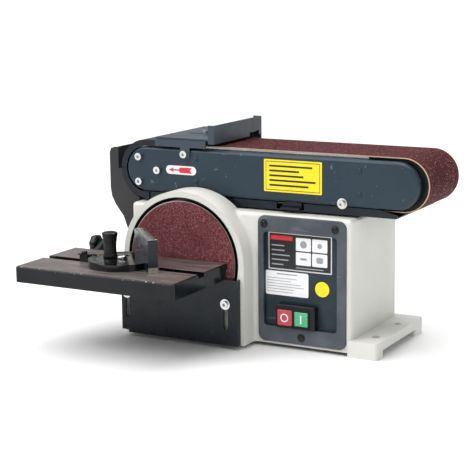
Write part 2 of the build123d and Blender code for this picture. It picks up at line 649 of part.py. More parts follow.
with BuildPart() as work_stop_fence:
    # Slotted plate that slides on the bridge and carries the upright fence across the belt
    block(stop_left, fence_right - sheet, cover_front, rear_plate_back, plate_bottom, plate_bottom + sheet)
    with BuildSketch(Plane.XY.offset(plate_bottom)):
        with Locations((-101, clamp_y)):
            SlotOverall(30, 2 * (clamp_radius + gap))
    extrude(amount=sheet, mode=Mode.SUBTRACT)
    block(fence_right - sheet, fence_right, cover_front, 133.8, fence_bottom, fence_top)
    block(fence_left, fence_right, cover_front, cover_front + sheet, fence_bottom, fence_top)
    block(-60, fence_right, rear_plate_back + gap, rear_plate_back + gap + sheet, 242, fence_top)
    block(fence_right - sheet, fence_right, 100, 126, fence_bottom, 256, mode=Mode.SUBTRACT)
save(work_stop_fence.part, "work_stop_fence")

with BuildPart() as arm_screws:
    # Rivets at the ends of the cover panel
    for x, z in rivet_places:
        bar_along_y(x, z, 1.5, cover_front, cover_front + sheet)
        bar_along_y(x, z, 2.8, cover_front - 1.2, cover_front)
    fillet(arm_screws.edges().group_by(Axis.Y)[0], radius=0.8)
    for x, z in bearing_screw_places:
        socket_screw(x, z, cover_front, web_back - 0.5)
    socket_screw(stop_screw_x, stop_screw_z, cover_front - sheet, 12)
    # Clamp screw of the work stop
    head_seat = plate_bottom + sheet + gap
    with BuildSketch(Plane.XY.offset(stop_bottom)):
        with Locations((clamp_x, clamp_y)):
            Circle(clamp_radius)
    extrude(amount=head_seat - stop_bottom)
    with BuildSketch(Plane.XY.offset(head_seat)):
        with Locations((clamp_x, clamp_y)):
            Circle(5)
    extrude(amount=4.4)
    with BuildSketch(Plane.XY.offset(head_seat + 1.9)):
        with Locations((clamp_x, clamp_y)):
            RegularPolygon(2.3, 6)
    extrude(amount=2.5, mode=Mode.SUBTRACT)
save(arm_screws.part, "arm_screws")

# ---------------------------------------------------------------- dust hood
hood_front, hood_back, hood_sheet = 10.5, 122.5, 3.0
bulge_front = 95.0

with BuildPart() as dust_hood:
    with BuildSketch(front_plane(hood_back)):
        with BuildLine():
            Polyline((-204.5, 238.5), (-209.4, 236.6), (-211.5, 231.5), (-211.5, 184), (-209.5, 172),
                     (-203.4, 161), (-192, 146.5), (-184.5, 126.5), (base_left, 77.5), (base_left, 210.5),
                     (-198, 210.5), (-198, 238.5), close=True)
        make_face()
    extrude(amount=hood_back - hood_front)
    # Round bulge that leads into the outlet spigot
    bar_along_y(spigot_x, spigot_z, spigot_outer + 2, bulge_front, hood_back)
    with BuildSketch(front_plane(hood_back - hood_sheet)):
        with BuildLine():
            Polyline((-208.5, 245), (-208.5, 184.3), (-206.7, 173.3), (-200.9, 162.7), (-189.3, 148.1),
                     (-181.7, 127.6), (base_left, 86.2), (-150, 86.2), (-150, 245), close=True)
        make_face()
    extrude(amount=hood_back - hood_front - 2 * hood_sheet, mode=Mode.SUBTRACT)
    bar_along_y(spigot_x, spigot_z, spigot_outer, hood_back, spigot_back)
    bar_along_y(spigot_x, spigot_z, spigot_inner, bulge_front + hood_sheet, spigot_back, mode=Mode.SUBTRACT)
    # Flange against the base, and room for the drum guards to turn
    block(base_left - hood_sheet, base_left, hood_front, hood_back, 80, 165)
    bar_along_y(drum_x, belt_z, hood_outer + 3, hood_front, hood_back, mode=Mode.SUBTRACT)
    for y, z in hood_screw_places:
        with BuildSketch(Plane.YZ.offset(base_left - hood_sheet)):
            with Locations((y, z)):
                Circle(screw_hole)
        extrude(amount=hood_sheet, mode=Mode.SUBTRACT)
save(dust_hood.part, "dust_hood")

# ---------------------------------------------------------------- table
table_underside = table_top - table_plate
skirt = 4.0

with BuildPart() as work_table:
    block(table_left, table_right, table_front, table_rear, table_top - table_apron, table_top)
    fillet(work_table.edges().filter_by(Axis.Z).sort_by(Axis.Y)[:2], radius=4)
    chamfer(work_table.edges().group_by(Axis.Z)[-1], length=1.5)
    block(table_left + skirt, table_right - skirt, table_front + skirt, table_rear,
          table_top - table_apron, table_underside, mode=Mode.SUBTRACT)
    block(table_left, table_right, slot_y - slot_width / 2, slot_y + slot_width / 2,
          table_top - slot_depth, table_top, mode=Mode.SUBTRACT)
    # The side skirts run out on a slant beside the disc
    for x in (table_left, table_right - skirt):
        with BuildSketch(Plane.YZ.offset(x)):
            with BuildLine():
                Polyline((table_rear - 11, table_top - table_apron), (table_rear, table_top - 3.5),
                         (table_rear, table_top - table_apron), close=True)
            make_face()
        extrude(amount=skirt, mode=Mode.SUBTRACT)
save(work_table.part, "work_table")

quadrant_x, ear_x, cheek_x, lug_x = -214.0, -209.0, base_left - 6, -166.2
lock_reach = math.hypot(lock_y - pivot_y, lock_z - pivot_z)

with BuildPart() as table_trunnion:
    # Slotted quadrant on the left, its slot centred on the pivot
    with BuildSketch(Plane.YZ.offset(quadrant_x)):
        with Locations((pivot_y, pivot_z)):
            Circle(9.5)
            with PolarLocations(lock_reach, 4, start_angle=-22, angular_range=53, rotate=False):
                Circle(7)
        make_hull()
        with Locations((pivot_y - 2, (pivot_z + table_underside) / 2)):
            Rectangle(24, table_underside - pivot_z)
        with Locations((table_rear - 40, table_underside + 20)):
            Rectangle(80, 40, mode=Mode.SUBTRACT)
        with Locations((pivot_y, pivot_z)):
            Circle(pivot_radius + running, mode=Mode.SUBTRACT)
        with BuildLine(mode=Mode.PRIVATE):
            track = CenterArc((pivot_y, pivot_z), lock_reach, -21, 51)
        SlotArc(track, 6.6, mode=Mode.SUBTRACT)
    extrude(amount=4)
    # Plain lug on the right
    with BuildSketch(Plane.YZ.offset(lug_x)):
        with Locations((pivot_y, pivot_z)):
            Circle(8.5)
        with Locations((pivot_y, (pivot_z + table_underside) / 2)):
            Rectangle(17, table_underside - pivot_z)
        with Locations((pivot_y, pivot_z)):
            Circle(pivot_radius + running, mode=Mode.SUBTRACT)
    extrude(amount=4)
save(table_trunnion.part, "table_trunnion")

with BuildPart() as table_bracket:
    # Cheek screwed to the base wall and reaching forward to the pivot
    with BuildSketch(Plane.YZ.offset(cheek_x)):
        with Locations((pivot_y, pivot_z)):
            Circle(9)
        with Locations((16, 62)):
            Rectangle(36, 24)
        make_hull()
        with Locations((30, 96)):
            Rectangle(40, 40, mode=Mode.SUBTRACT)
        with Locations((pivot_y, pivot_z)):
            Circle(pivot_radius, mode=Mode.SUBTRACT)
        with Locations(*table_screw_places):
            Circle(screw_hole, mode=Mode.SUBTRACT)
    extrude(amount=6)
    block(ear_x, cheek_x, -23, -7, 69, 75)
    # Outer ear carrying the pivot and the lock stud, kept clear of the table's underside
    with BuildSketch(Plane.YZ.offset(ear_x)):
        with Locations((pivot_y, pivot_z), (-15, 74)):
            Circle(9)
        with Locations((lock_y, lock_z)):
            Circle(7.5)
        make_hull()
        with Locations((table_rear - 39, table_underside + 19)):
            Rectangle(80, 40, mode=Mode.SUBTRACT)
        with Locations((pivot_y, pivot_z)):
            Circle(pivot_radius, mode=Mode.SUBTRACT)
        with Locations((lock_y, lock_z)):
            Circle(3 + running, mode=Mode.SUBTRACT)
    extrude(amount=6)
save(table_bracket.part, "table_bracket")


def bar_along_x(y, z, radius, x_left, x_right):
    """A round bar along X in the part being built."""
    with BuildSketch(Plane.YZ.offset(x_left)) as section:
        with Locations((y, z)):
            Circle(radius)
    extrude(section.sketch, amount=x_right - x_left)


with BuildPart() as table_pivot_pin:
    bar_along_x(pivot_y, pivot_z, pivot_radius, -215, -160.5)
    bar_along_x(pivot_y, pivot_z, 6, -217, -215)
save(table_pivot_pin.part, "table_pivot_pin")

with BuildPart() as table_lock_knob:
    bar_along_x(lock_y, lock_z, 12, -226, -216)
    fillet(table_lock_knob.edges().group_by(Axis.X)[0], radius=3)
    bar_along_x(lock_y, lock_z, 6, -216, quadrant_x - gap)
    bar_along_x(lock_y, lock_z, 3, -216, -202)
save(table_lock_knob.part, "table_lock_knob")

# ---------------------------------------------------------------- mitre gauge
bar_bottom, bar_top = table_top - slot_depth + 0.1, table_top - 0.1
bar_left, bar_right, bar_half = gauge_x - 60.3, gauge_x + 51.7, slot_width / 2 - 0.1
head_bottom, head_top = table_top + gap, table_top + gap + head_thickness
pointer_bottom = head_top + gap
knob_x = gauge_x - 17


def post(x, y, radius, z_bottom, z_top, mode=Mode.ADD):
    """An upright round bar, or with Mode.SUBTRACT a hole, in the part being built."""
    with BuildSketch(Plane.XY.offset(z_bottom)) as section:
        with Locations((x, y)):
            Circle(radius)
    extrude(section.sketch, amount=z_top - z_bottom, mode=mode)


def gauge_plane(z):
    """Level plane at the gauge pivot, its x axis along the fence and its y axis towards the disc."""
    turn = math.radians(gauge_turn)
    return Plane(origin=(gauge_x, slot_y, z), x_dir=(math.cos(turn), math.sin(turn), 0), z_dir=(0, 0, 1))


with BuildPart() as miter_bar:
    block(bar_left, bar_right, slot_y - bar_half, slot_y + bar_half, bar_bottom, bar_top)
    post(gauge_x, slot_y, pivot_radius, bar_top, pointer_bottom)
    post(gauge_x, slot_y, 6.5, pointer_bottom, pointer_bottom + 4)
    fillet(miter_bar.edges().group_by(Axis.Z)[-1], radius=3)
    post(knob_x, slot_y, 3, bar_bottom, bar_top, mode=Mode.SUBTRACT)
save(miter_bar.part, "miter_bar")

with BuildPart() as miter_pointer:
    block(bar_left, bar_left + 12, slot_y - 5, slot_y + 5, bar_top, pointer_bottom)
    with BuildSketch(Plane.XY.offset(pointer_bottom)):
        with BuildLine():
            Polyline((bar_left - 1.5, slot_y - 6), (gauge_x - 48, slot_y - 6), (gauge_x - 37, slot_y),
                     (gauge_x - 48, slot_y + 6), (bar_left - 1.5, slot_y + 6), close=True)
        make_face()
    extrude(amount=1.4)
    post(bar_left + 4.2, slot_y, 4, pointer_bottom + 1.4, pointer_bottom + 4.2)
    fillet(miter_pointer.edges().group_by(Axis.Z)[-1], radius=2)
save(miter_pointer.part, "miter_pointer")

with BuildPart() as miter_head:
    with BuildSketch(gauge_plane(head_bottom)):
        Circle(head_radius)
        with Locations((0, fence_offset + 30)):
            Rectangle(100, 60, mode=Mode.SUBTRACT)
        Circle(pivot_radius + running, mode=Mode.SUBTRACT)
        with BuildLine(mode=Mode.PRIVATE):
            swing = CenterArc((0, 0), 17, 146, 98)
        SlotArc(swing, 6.6, mode=Mode.SUBTRACT)
    extrude(amount=head_thickness)
save(miter_head.part, "miter_head")

with BuildPart() as miter_fence:
    with BuildSketch(gauge_plane(head_bottom)):
        with Locations(((fence_start + fence_end) / 2, fence_offset + fence_thickness / 2)):
            Rectangle(fence_end - fence_start, fence_thickness)
    extrude(amount=fence_height)
    fillet(miter_fence.edges().group_by(Axis.Z)[-1], radius=1)
save(miter_fence.part, "miter_fence")

with BuildPart() as miter_knob:
    with BuildSketch(Plane.XZ.offset(-slot_y)):
        with BuildLine():
            Polyline((knob_x, bar_bottom + 0.5), (knob_x + 2.95, bar_bottom + 0.5),
                     (knob_x + 2.95, pointer_bottom), (knob_x + 8.6, pointer_bottom), (knob_x + 8.6, head_top + 2))
            ThreePointArc((knob_x + 8.6, head_top + 2), (knob_x + 8.2, head_top + 14), (knob_x + 10, head_top + 28))
            ThreePointArc((knob_x + 10, head_top + 28), (knob_x + 7.4, head_top + 31.2), (knob_x + 2, head_top + 32.6))
            Polyline((knob_x + 2, head_top + 32.6), (knob_x, head_top + 32.6), (knob_x, bar_bottom + 0.5))
        make_face()
    revolve(axis=Axis((knob_x, slot_y, 0), (0, 0, 1)))
save(miter_knob.part, "miter_knob")

# ---------------------------------------------------------------- small parts on the base
with BuildPart() as cord_gland:
    bar_along_y(gland_x, gland_z, 7, base_back - base_wall - 6, base_back + 8)
    with BuildSketch(front_plane(base_back + 5)):
        with Locations((gland_x, gland_z)):
            RegularPolygon(10, 6)
    extrude(amount=5)
    bar_along_y(gland_x, gland_z, 4, base_back - base_wall - 6, base_back + 8, mode=Mode.SUBTRACT)
save(cord_gland.part, "cord_gland")

with BuildPart() as arm_rest_pad:
    post(120, 60, 10, base_top, guard_bottom - gap)
save(arm_rest_pad.part, "arm_rest_pad")

with BuildPart() as base_screws:
    for x, z in panel_screw_places:
        bar_along_y(x, z, 3.4, base_front - 2.4, base_front - 1.1)
        bar_along_y(x, z, 2.0, base_front - 1.1, base_front + base_wall + 3)
    for x, z in bracket_screw_places:
        socket_screw(x, z, bracket_back, base_back - base_wall - 3, direction=1)
    for x, z in cover_screw_places:
        socket_screw(x, z, bracket_back + 3, bracket_front + 0.5, direction=1)
    for x, z in motor_screw_places:
        socket_screw(x, z, recess_back, 1.5)
    for places, seat in ((table_screw_places, cheek_x), (hood_screw_places, base_left - hood_sheet)):
        for y, z in places:
            bar_along_x(y, z, 4.8, seat - 4.5, seat)
            bar_along_x(y, z, screw_radius, seat, base_left + base_wall + 3)
            with BuildSketch(Plane.YZ.offset(seat - 4.5)):
                with Locations((y, z)):
                    RegularPolygon(2.3, 6)
            extrude(amount=2.5, mode=Mode.SUBTRACT)
save(base_screws.part, "base_screws")
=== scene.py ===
import math

import bmesh
import bpy
from mathutils import Matrix, Vector


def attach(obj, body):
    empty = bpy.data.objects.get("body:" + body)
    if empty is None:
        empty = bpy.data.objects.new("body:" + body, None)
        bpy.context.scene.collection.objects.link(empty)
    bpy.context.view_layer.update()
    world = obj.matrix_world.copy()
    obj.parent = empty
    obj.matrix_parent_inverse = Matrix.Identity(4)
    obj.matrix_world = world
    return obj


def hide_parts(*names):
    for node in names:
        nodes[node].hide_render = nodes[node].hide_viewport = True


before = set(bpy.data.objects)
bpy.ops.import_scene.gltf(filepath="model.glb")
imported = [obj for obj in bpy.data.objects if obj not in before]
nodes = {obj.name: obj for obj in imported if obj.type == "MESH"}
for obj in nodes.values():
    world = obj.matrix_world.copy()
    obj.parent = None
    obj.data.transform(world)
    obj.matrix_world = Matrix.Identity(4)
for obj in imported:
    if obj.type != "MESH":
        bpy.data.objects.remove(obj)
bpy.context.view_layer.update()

# Places on the machine, in millimetres of the row frame
DISC_X, DISC_Z = -73.5, 106.7
DRUM_X, DRUM_Z = -151.5, 213.0
GAUGE_X, SLOT_Y = -120.2, -104.5
TILT_Y, TILT_Z, QUADRANT_FACE = -52.0, 91.5, -214.0
TILT_LOCK = (-216.0, -13.5, 111.0)
ARM_FACE, TRAY_FACE, PANEL_FACE = 4.5, -5.5, -11.0
BEZEL_FACE, BUTTON_FACE = -15.5, -17.0
HEAD_TOP = 117.8
RAIL_TOP, SPOT = 21.0, 0.12
PANEL_SCREWS = ((30.0, 157.9), (127.0, 157.5), (81.0, 17.2))
ARM_RIVETS = ((-75.9, 229.9), (-75.5, 201.5), (151.8, 229.2), (152.0, 200.4))
RAIL_BOLTS = ((167.5, 22), (167.5, 92), (-184.5, 63), (-184.5, 130))
# Bands along one axis where a finish changes, in metres as the materials read them
TABLE_LIP = (0.1070, 0.1076)
TABLE_CHIPS = (0.1058, 0.1082)
BELT_EDGES = (0.0177, 0.1169)
# Depth where the panel's rim, painted as lit, meets its recess, painted as shade
PANEL_LIT_RIM = (-0.0088, -0.0082)
FENCE_TOP, FENCE_FOOT = (0.1500, 0.1503), (0.1165, 0.1155)
BACKING_LINE = 0.0004


# ------------------------------------------------------------------ shading helpers
class Shade:
    """A Principled material with the nodes that drive it, in the row frame's own coordinates."""

    def __init__(self, name, rough=0.5, metal=0.0, coat=0.0, specular=0.5):
        self.mat = bpy.data.materials.new(name)
        self.mat.use_nodes = True
        self.tree = self.mat.node_tree
        self.bsdf = self.tree.nodes["Principled BSDF"]
        self.bsdf.inputs["Roughness"].default_value = rough
        self.bsdf.inputs["Metallic"].default_value = metal
        self.bsdf.inputs["Coat Weight"].default_value = coat
        self.bsdf.inputs["Coat Roughness"].default_value = 0.1
        self.bsdf.inputs["Specular IOR Level"].default_value = specular
        self.coord = self.new("ShaderNodeTexCoord").outputs["Object"]

    def new(self, kind, **settings):
        node = self.tree.nodes.new(kind)
        for key, value in settings.items():
            setattr(node, key, value)
        return node

    def put(self, socket, value):
        """Links a node's output to the socket, or sets the socket to a plain value."""
        if hasattr(value, "is_output"):
            self.tree.links.new(value, socket)
        elif value is not None:
            socket.default_value = value

    def noise(self, scale, detail, stretch=None):
        """Noise from 0 to 1, drawn out along an axis whose stretch is below 1."""
        where = self.coord
        if stretch:
            mapping = self.new("ShaderNodeMapping")
            mapping.inputs["Scale"].default_value = stretch
            self.put(mapping.inputs["Vector"], where)
            where = mapping.outputs["Vector"]
        node = self.new("ShaderNodeTexNoise")
        self.put(node.inputs["Vector"], where)
        node.inputs["Scale"].default_value = scale
        node.inputs["Detail"].default_value = detail
        return node.outputs["Fac"]

    def cells(self, scale, socket="Distance"):
        """Grains: the distance to each one's middle, or its own random colour."""
        node = self.new("ShaderNodeTexVoronoi", feature="F1")
        self.put(node.inputs["Vector"], self.coord)
        node.inputs["Scale"].default_value = scale
        return node.outputs[socket]

    def axis(self, name, normal=False):
        """One coordinate of the place in metres, or of the surface normal."""
        source = self.coord
        if normal:
            source = self.new("ShaderNodeTexCoord").outputs["Normal"]
        split = self.new("ShaderNodeSeparateXYZ")
        self.put(split.inputs[0], source)
        return split.outputs[name]

    def span(self, value, low, high, to_low=0.0, to_high=1.0):
        """Maps low..high to to_low..to_high, held at both ends."""
        node = self.new("ShaderNodeMapRange")
        for index, item in enumerate((value, low, high, to_low, to_high)):
            self.put(node.inputs[index], item)
        return node.outputs[0]

    def math(self, operation, a, b=0.0):
        node = self.new("ShaderNodeMath", operation=operation)
        self.put(node.inputs[0], a)
        self.put(node.inputs[1], b)
        return node.outputs[0]

    def mix(self, factor, a, b):
        """Blends colour a into colour b; sockets 6, 7 and 2 are the node's colour ones."""
        node = self.new("ShaderNodeMix", data_type="RGBA")
        self.put(node.inputs[0], factor)
        self.put(node.inputs[6], a if hasattr(a, "is_output") else (*a, 1))
        self.put(node.inputs[7], b if hasattr(b, "is_output") else (*b, 1))
        return node.outputs[2]

    def cloudy(self, colour, scale, detail, below, above):
        """The colour, drifting between its own darker and lighter shades."""
        drift = self.span(self.noise(scale, detail), 0.3, 0.7)
        return self.mix(drift, shaded(colour, below), shaded(colour, above))

    def finish(self, colour, rough=None, metal=None, height=None, strength=0.1, distance=0.0005):
        """Feeds the shader, with a bump from height, and returns the material."""
        self.put(self.bsdf.inputs["Base Color"], colour)
        self.put(self.bsdf.inputs["Roughness"], rough)
        self.put(self.bsdf.inputs["Metallic"], metal)
        if height is not None:
            bump = self.new("ShaderNodeBump")
            bump.inputs["Strength"].default_value = strength
            bump.inputs["Distance"].default_value = distance
            self.put(bump.inputs["Height"], height)
            self.put(self.bsdf.inputs["Normal"], bump.outputs["Normal"])
        return self.mat


def rgb(r, g, b):
    """Linear colour from 0-255 screen values."""
    def linear(c):
        c /= 255
        return c / 12.92 if c <= 0.04045 else ((c + 0.055) / 1.055) ** 2.4
    return linear(r), linear(g), linear(b)


def shaded(colour, factor):
    """The colour made darker or lighter by a factor."""
    return tuple(c * factor for c in colour)


def paint(name, colour, rough, tone, peel, strength, coat=0.0, wear=None):
    """Sprayed paint: cloudy tone, orange peel, and where wear is given, worn spots of that colour."""
    s = Shade(name, coat=coat, specular=0.3)
    fill = s.cloudy(colour, 18, 4, 1 - tone, 1 + tone)
    if wear:
        chips = s.span(s.noise(120, 6), 0.69, 0.72)
        fill = s.mix(chips, fill, wear)
    gloss = s.span(s.noise(60, 3), 0.3, 0.7, rough - 0.07, rough + 0.08)
    return s.finish(fill, gloss, height=s.noise(peel, 2), strength=strength, distance=0.0004)


def metal(name, colour, rough, stretch=(1, 1, 1), scale=900, strength=0.08):
    """Bare metal with tooling marks, drawn out along the axis with the smallest stretch."""
    s = Shade(name, metal=1.0)
    marks = s.noise(scale, 2, stretch)
    fill = s.cloudy(colour, 35, 3, 0.88, 1.12)
    gloss = s.span(marks, 0.25, 0.75, rough - 0.08, rough + 0.12)
    return s.finish(fill, gloss, height=marks, strength=strength, distance=0.0003)


def plastic(name, colour, rough, grain=1500, strength=0.15):
    """Moulded plastic with a fine spark-eroded grain."""
    s = Shade(name, specular=0.3)
    fill = s.cloudy(colour, 25, 3, 0.94, 1.06)
    gloss = s.span(s.noise(200, 3), 0.3, 0.7, rough - 0.06, rough + 0.06)
    return s.finish(fill, gloss, height=s.noise(grain, 2), strength=strength, distance=0.0002)


def grit(name, dark, light, edges=None):
    """Abrasive grains on cloth; edges = (low, high) in y leave a pale backing line outside them."""
    s = Shade(name, rough=0.75, specular=0.15)
    grain = s.cells(1400, socket="Color")
    split = s.new("ShaderNodeSeparateXYZ")
    s.put(split.inputs[0], grain)
    speck = s.math("MULTIPLY", split.outputs[0], s.span(s.noise(420, 4), 0.25, 0.75))
    fill = s.mix(s.span(speck, 0.12, 0.7), dark, light)
    glints = s.math("GREATER_THAN", split.outputs[1], 0.975)
    fill = s.mix(glints, fill, rgb(205, 160, 155))
    fill = s.mix(s.span(s.noise(14, 4), 0.35, 0.75, 0.0, 0.35), fill, shaded(dark, 0.8))
    if edges:
        place, (near, far) = s.axis("Y"), edges
        inside = s.math("MULTIPLY", s.span(place, near, near + BACKING_LINE),
                        s.span(place, far, far - BACKING_LINE))
        fill = s.mix(inside, rgb(205, 178, 150), fill)
    height = s.math("ADD", s.cells(1400), s.noise(900, 3))
    return s.finish(fill, s.span(speck, 0.1, 0.8, 0.85, 0.55), height=height, strength=0.55, distance=0.0006)


# ------------------------------------------------------------------ materials
base_paint = paint("base_paint", rgb(214, 214, 208), rough=0.42, tone=0.03, peel=420, strength=0.10)
arm_paint = paint("arm_paint", rgb(38, 54, 65), rough=0.36, tone=0.10, peel=330, strength=0.14,
                  wear=rgb(82, 98, 108))
plate_paint = paint("plate_paint", rgb(60, 70, 80), rough=0.38, tone=0.08, peel=330, strength=0.14)
guard_paint = paint("guard_paint", rgb(20, 28, 36), rough=0.30, tone=0.18, peel=300, strength=0.16,
                    wear=rgb(40, 52, 62))
hood_paint = paint("hood_paint", rgb(52, 52, 54), rough=0.42, tone=0.10, peel=300, strength=0.16)
gloss_black = paint("gloss_black", rgb(8, 10, 12), rough=0.16, tone=0.20, peel=240, strength=0.16, coat=0.2)
knob_plastic = plastic("knob_plastic", rgb(20, 20, 22), rough=0.30, grain=1100, strength=0.20)
switch_plastic = plastic("switch_plastic", rgb(16, 17, 19), rough=0.38, grain=1500, strength=0.12)
bright_steel = metal("bright_steel", rgb(212, 212, 210), rough=0.20)
drawn_steel = metal("drawn_steel", rgb(190, 190, 188), rough=0.24, stretch=(0.04, 1, 1))
turned_metal = metal("turned_metal", rgb(200, 198, 196), rough=0.30, stretch=(1, 0.05, 1))
motor_black = paint("motor_black", rgb(30, 31, 33), rough=0.5, tone=0.12, peel=200, strength=0.3)
lamination = metal("lamination", rgb(120, 117, 112), rough=0.45, stretch=(0.2, 6, 0.2), scale=300,
                   strength=0.3)
rubber = plastic("rubber", rgb(20, 20, 21), rough=0.75, grain=900, strength=0.3)
can_plastic = plastic("can_plastic", rgb(196, 196, 190), rough=0.45)
belt_grit = grit("belt_grit", rgb(58, 20, 24), rgb(112, 50, 52), edges=BELT_EDGES)
disc_grit = grit("disc_grit", rgb(92, 44, 50), rgb(158, 98, 100))


def button_plastic(name, colour):
    """Glossy moulded button."""
    s = Shade(name, coat=0.35)
    fill = s.cloudy(colour, 90, 3, 0.88, 1.08)
    gloss = s.span(s.noise(150, 2), 0.3, 0.7, 0.18, 0.32)
    return s.finish(fill, gloss, height=s.noise(500, 2), strength=0.08)


def panel_material():
    """Dark moulding: a rim painted lighter as if lit, round a deeper recess painted darker as shade, with
    light scratches over both.
    """
    s = Shade("panel_moulding", specular=0.3)
    rim = s.span(s.axis("Y"), *PANEL_LIT_RIM, 1.0, 0.0)
    cloud = s.span(s.noise(30, 5), 0.35, 0.7)
    # Painted light: the rim tone is lighter as if lit, the recess floor tone darker as painted shade
    lit_rim_tone = s.mix(cloud, rgb(66, 72, 79), rgb(88, 94, 100))
    shaded_floor_tone = s.mix(cloud, rgb(26, 40, 48), rgb(38, 54, 62))
    fill = s.mix(rim, shaded_floor_tone, lit_rim_tone)
    scratch = s.span(s.noise(70, 5, (0.3, 1, 2.2)), 0.66, 0.70, 0.0, 0.35)
    fill = s.mix(scratch, fill, rgb(112, 118, 124))
    gloss = s.span(s.noise(180, 3), 0.3, 0.7, 0.36, 0.52)
    return s.finish(fill, gloss, height=s.noise(1100, 2), strength=0.16, distance=0.0003)


def table_material():
    """Ground top with fine marks across it, glossy black sides and chipped paint along the upper edge."""
    s = Shade("table_iron", specular=0.25)
    up = s.span(s.axis("Z", normal=True), 0.93, 0.99)
    high = s.span(s.axis("Z"), *TABLE_LIP)
    bare = s.math("MULTIPLY", up, high)
    chip_band = s.span(s.axis("Z"), *TABLE_CHIPS)
    chips = s.math("MULTIPLY", chip_band, s.span(s.noise(330, 5), 0.66, 0.70))
    marks = s.noise(260, 5, (0.10, 1.0, 1.0))
    stains = s.noise(16, 5)
    top = s.mix(s.span(marks, 0.3, 0.7), rgb(132, 121, 118), rgb(168, 157, 154))
    top = s.mix(s.span(stains, 0.42, 0.68, 0.0, 0.55), top, rgb(112, 102, 100))
    black = s.mix(s.span(s.noise(22, 4), 0.3, 0.7), rgb(9, 12, 14), rgb(20, 26, 30))
    fill = s.mix(chips, black, rgb(176, 172, 166))
    fill = s.mix(bare, fill, top)
    gloss_top = s.span(marks, 0.25, 0.75, 0.30, 0.48)
    gloss = s.math("ADD", s.math("MULTIPLY", bare, gloss_top),
                   s.math("MULTIPLY", s.math("SUBTRACT", 1.0, bare), 0.17))
    bright = s.math("MAXIMUM", s.math("MULTIPLY", bare, 0.85), chips)
    height = s.math("ADD", s.math("MULTIPLY", marks, 0.6), s.noise(260, 2))
    return s.finish(fill, gloss, bright, height, 0.12, 0.0003)


def disc_plate_material():
    """Machined aluminium with turning rings round the disc's axis."""
    s = Shade("disc_plate_metal", metal=1.0)
    x = s.math("SUBTRACT", s.axis("X"), DISC_X / 1000)
    z = s.math("SUBTRACT", s.axis("Z"), DISC_Z / 1000)
    radius = s.math("SQRT", s.math("ADD", s.math("MULTIPLY", x, x), s.math("MULTIPLY", z, z)))
    rings = s.math("SINE", s.math("MULTIPLY", radius, 9000.0))
    fill = s.mix(s.span(s.noise(40, 3), 0.3, 0.7), rgb(176, 172, 168), rgb(204, 200, 197))
    return s.finish(fill, s.span(rings, -1.0, 1.0, 0.24, 0.38), height=rings, strength=0.1, distance=0.0002)


def fence_material():
    """Gloss black casting whose top edge and lower end are ground bright."""
    s = Shade("gauge_fence", specular=0.3)
    top = s.span(s.axis("Z"), *FENCE_TOP)
    foot = s.math("MULTIPLY", s.span(s.axis("Z"), *FENCE_FOOT), s.span(s.axis("X", normal=True), 0.55, 0.62))
    bright = s.math("MAXIMUM", top, s.math("MULTIPLY", foot, 0.8))
    paint_tone = s.mix(s.span(s.noise(30, 4), 0.3, 0.7), rgb(16, 22, 28), rgb(32, 42, 50))
    metal_tone = s.mix(s.span(s.noise(160, 4), 0.3, 0.7), rgb(150, 150, 148), rgb(205, 204, 200))
    fill = s.mix(bright, paint_tone, metal_tone)
    gloss = s.span(s.noise(80, 3), 0.3, 0.7, 0.14, 0.26)
    return s.finish(fill, gloss, bright, s.noise(250, 2), 0.16, 0.0004)


finishes = {
    base_paint: ["base_housing", "disc_surround", "back_panel", "foot_rails"],
    arm_paint: ["arm_front_cover", "arm_frame", "arm_rear_plate", "pivot_bracket"],
    plate_paint: ["stop_bracket", "work_stop_fence"],
    guard_paint: ["lower_disc_guard", "rear_belt_cover", "table_bracket", "table_trunnion",
                  "upper_belt_hood", "lower_belt_guard", "tension_bar"],
    hood_paint: ["dust_hood"],
    panel_material(): ["control_panel"],
    switch_plastic: ["switch_housing", "cord_gland"],
    button_plastic("button_red", rgb(186, 48, 60)): ["stop_button"],
    button_plastic("button_green", rgb(62, 172, 118)): ["start_button"],
    bright_steel: ["guard_screws", "arm_screws", "tracking_screw", "table_pivot_pin", "base_screws",
                   "tension_spring", "shaft_bearings", "idler_bearings", "drum_front_bearing"],
    drawn_steel: ["idler_yoke", "miter_bar", "platen"],
    turned_metal: ["rotor_shaft", "drum_shaft", "idler_axle", "motor_pulley", "drum_pulley", "drive_drum",
                   "front_bearing_housing"],
    # idler_drum: its black is painted shade for the dark gap at the arm's end; the drum itself is turned
    # metal
    motor_black: ["motor_shell", "motor_end_bells", "idler_drum"],
    lamination: ["motor_stator", "rotor_core"],
    disc_plate_material(): ["disc_plate"],
    belt_grit: ["sanding_belt"],
    disc_grit: ["abrasive_disc"],
    rubber: ["drive_belt", "arm_rest_pad"],
    table_material(): ["work_table"],
    gloss_black: ["miter_head", "miter_pointer"],
    fence_material(): ["miter_fence"],
    knob_plastic: ["motor_fan"],
    can_plastic: ["motor_capacitor"],
}
for finish, names in finishes.items():
    for name in names:
        mesh = nodes[name].data
        mesh.materials.clear()
        mesh.materials.append(finish)


# ------------------------------------------------------------------ mesh helpers
RIGHT, BACK, FRONT, UP = (1, 0, 0), (0, 1, 0), (0, -1, 0), (0, 0, 1)


def add(name, bm, body, finish, smooth_angle=35.0, bevel=0.0):
    """Turns bm into a piece that rides on body, in row-frame coordinates."""
    bmesh.ops.recalc_face_normals(bm, faces=bm.faces)
    mesh = bpy.data.meshes.new(name)
    bm.to_mesh(mesh)
    bm.free()
    mesh.materials.append(finish)
    mesh.shade_smooth()
    mesh.set_sharp_from_angle(angle=math.radians(smooth_angle))
    piece = bpy.data.objects.new(name, mesh)
    bpy.context.collection.objects.link(piece)
    if bevel:
        edge = piece.modifiers.new("edge", "BEVEL")
        edge.width = bevel
        edge.segments = 2
        edge.limit_method = "ANGLE"
    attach(piece, body)
    return piece


